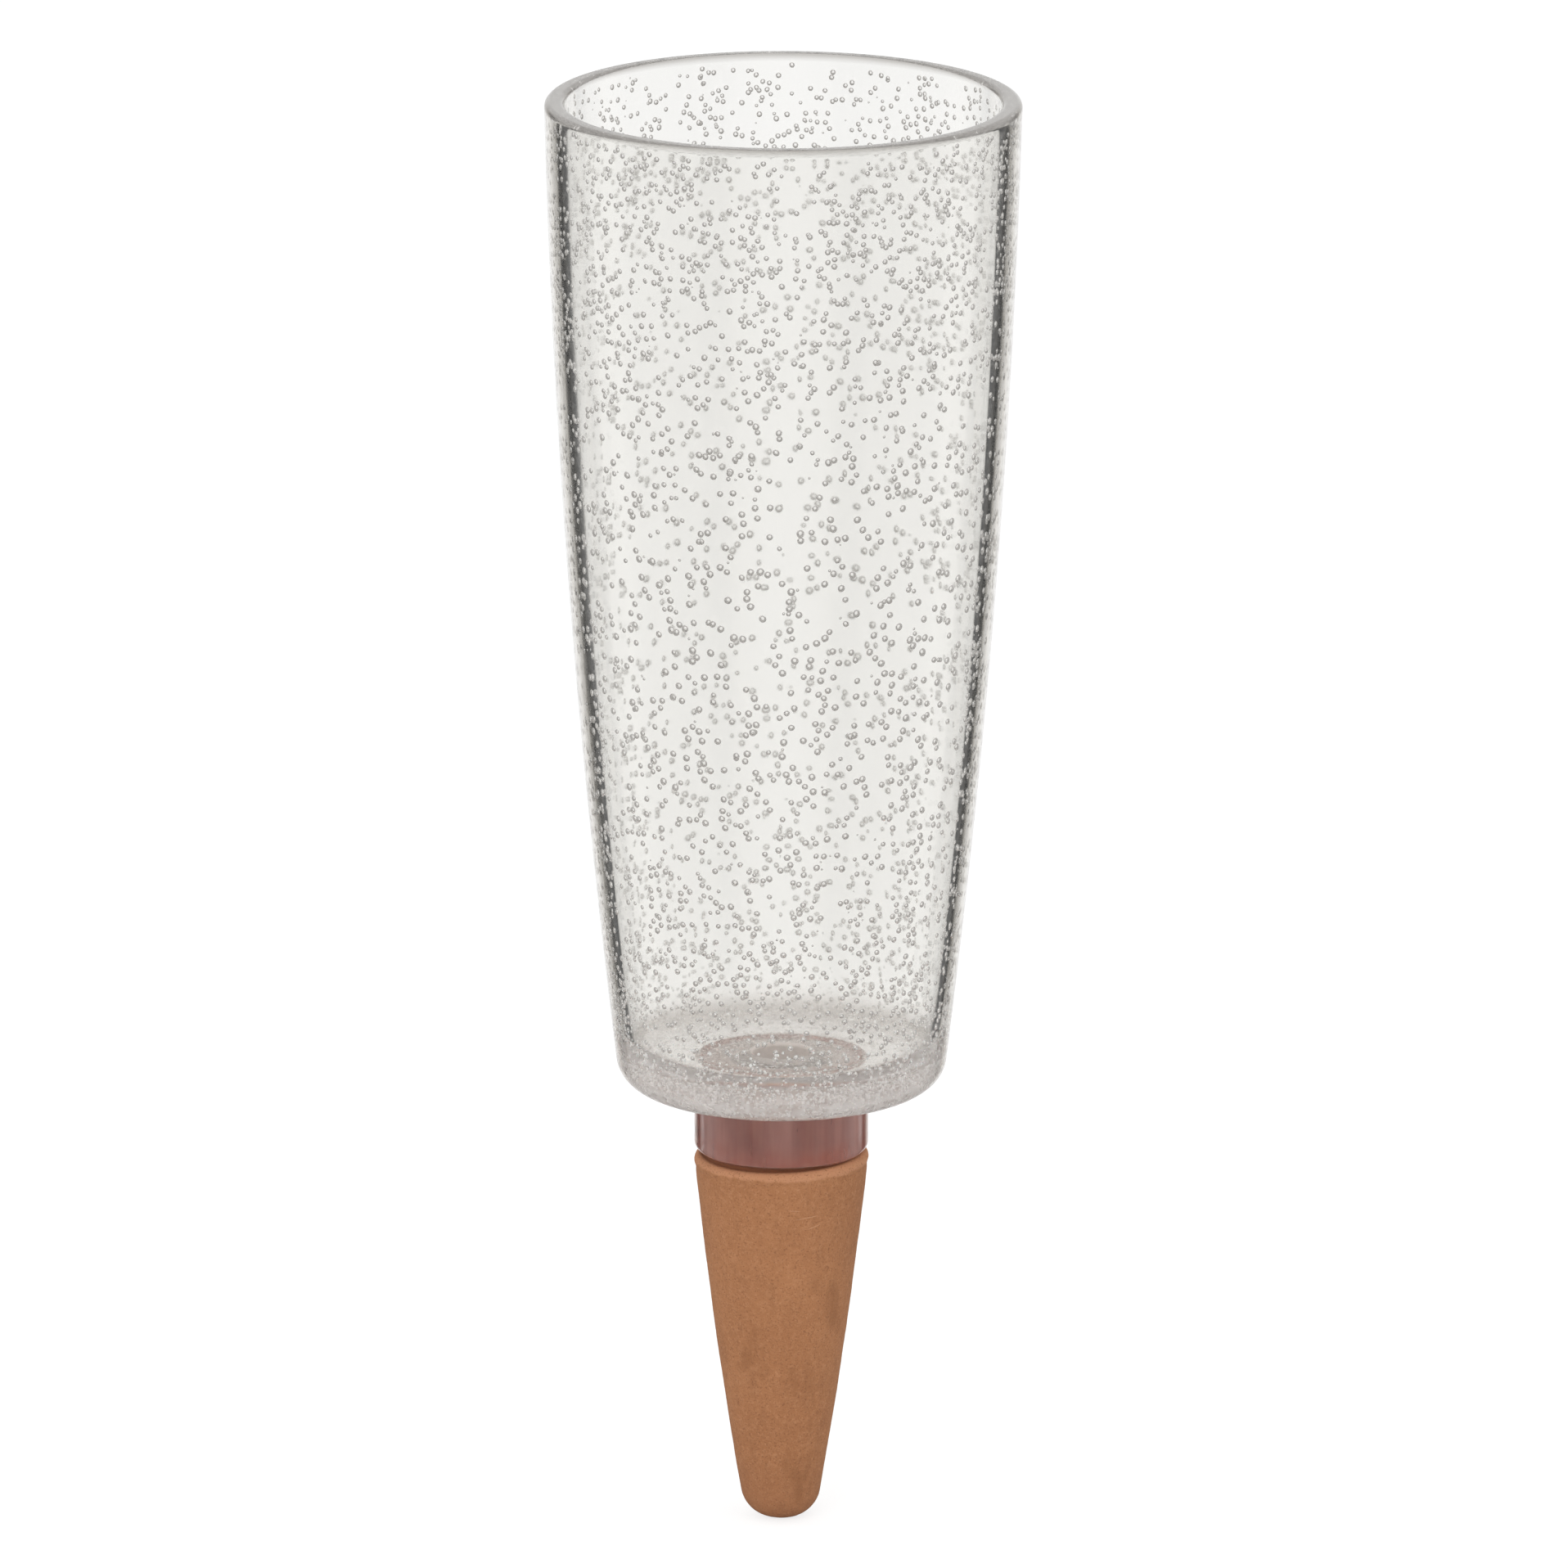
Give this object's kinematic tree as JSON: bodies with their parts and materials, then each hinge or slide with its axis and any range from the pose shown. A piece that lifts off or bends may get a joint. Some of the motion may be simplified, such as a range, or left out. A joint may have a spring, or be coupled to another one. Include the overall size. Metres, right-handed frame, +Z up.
{
  "type": "self watering spike",
  "caption": "Clear bubbled plastic tumbler on a hollow clay cone; filled with water and pushed into a pot, it lets water seep into the soil.",
  "frame": {"origin": "lowest point of the clay cone, on the axis of the spike", "axes": "+Z up along the axis, from the cone's tip to the cup's mouth; +X to the right and -Y towards the viewer of the picture"},
  "size_m": [0.08, 0.08, 0.2479],
  "materials": {
    "bubbled_plastic": "clear and glossy with a faint warm grey tint, full of small round air bubbles",
    "clear_plastic": "clear and glossy, without bubbles",
    "clear_silicone": "milky clear soft silicone",
    "bare_clay": "unglazed fired clay, matte and finely pored, with faint darker stains"
  },
  "bodies": {
    "spike": {"clay_cone": "bare_clay"},
    "seal": {"seal_sleeve": "clear_silicone"},
    "cup": {"reservoir_cup": "bubbled_plastic", "neck_collar": "clear_plastic"}
  },
  "joints": [
    {"name": "seal_pull", "type": "slide", "parent": "spike", "child": "seal", "axis": [0, 0, 1], "range_m": [0, 0.008]},
    {"name": "cup_pull", "type": "slide", "parent": "seal", "child": "cup", "axis": [0, 0, 1], "range_m": [0, 0.012]}
  ]
}
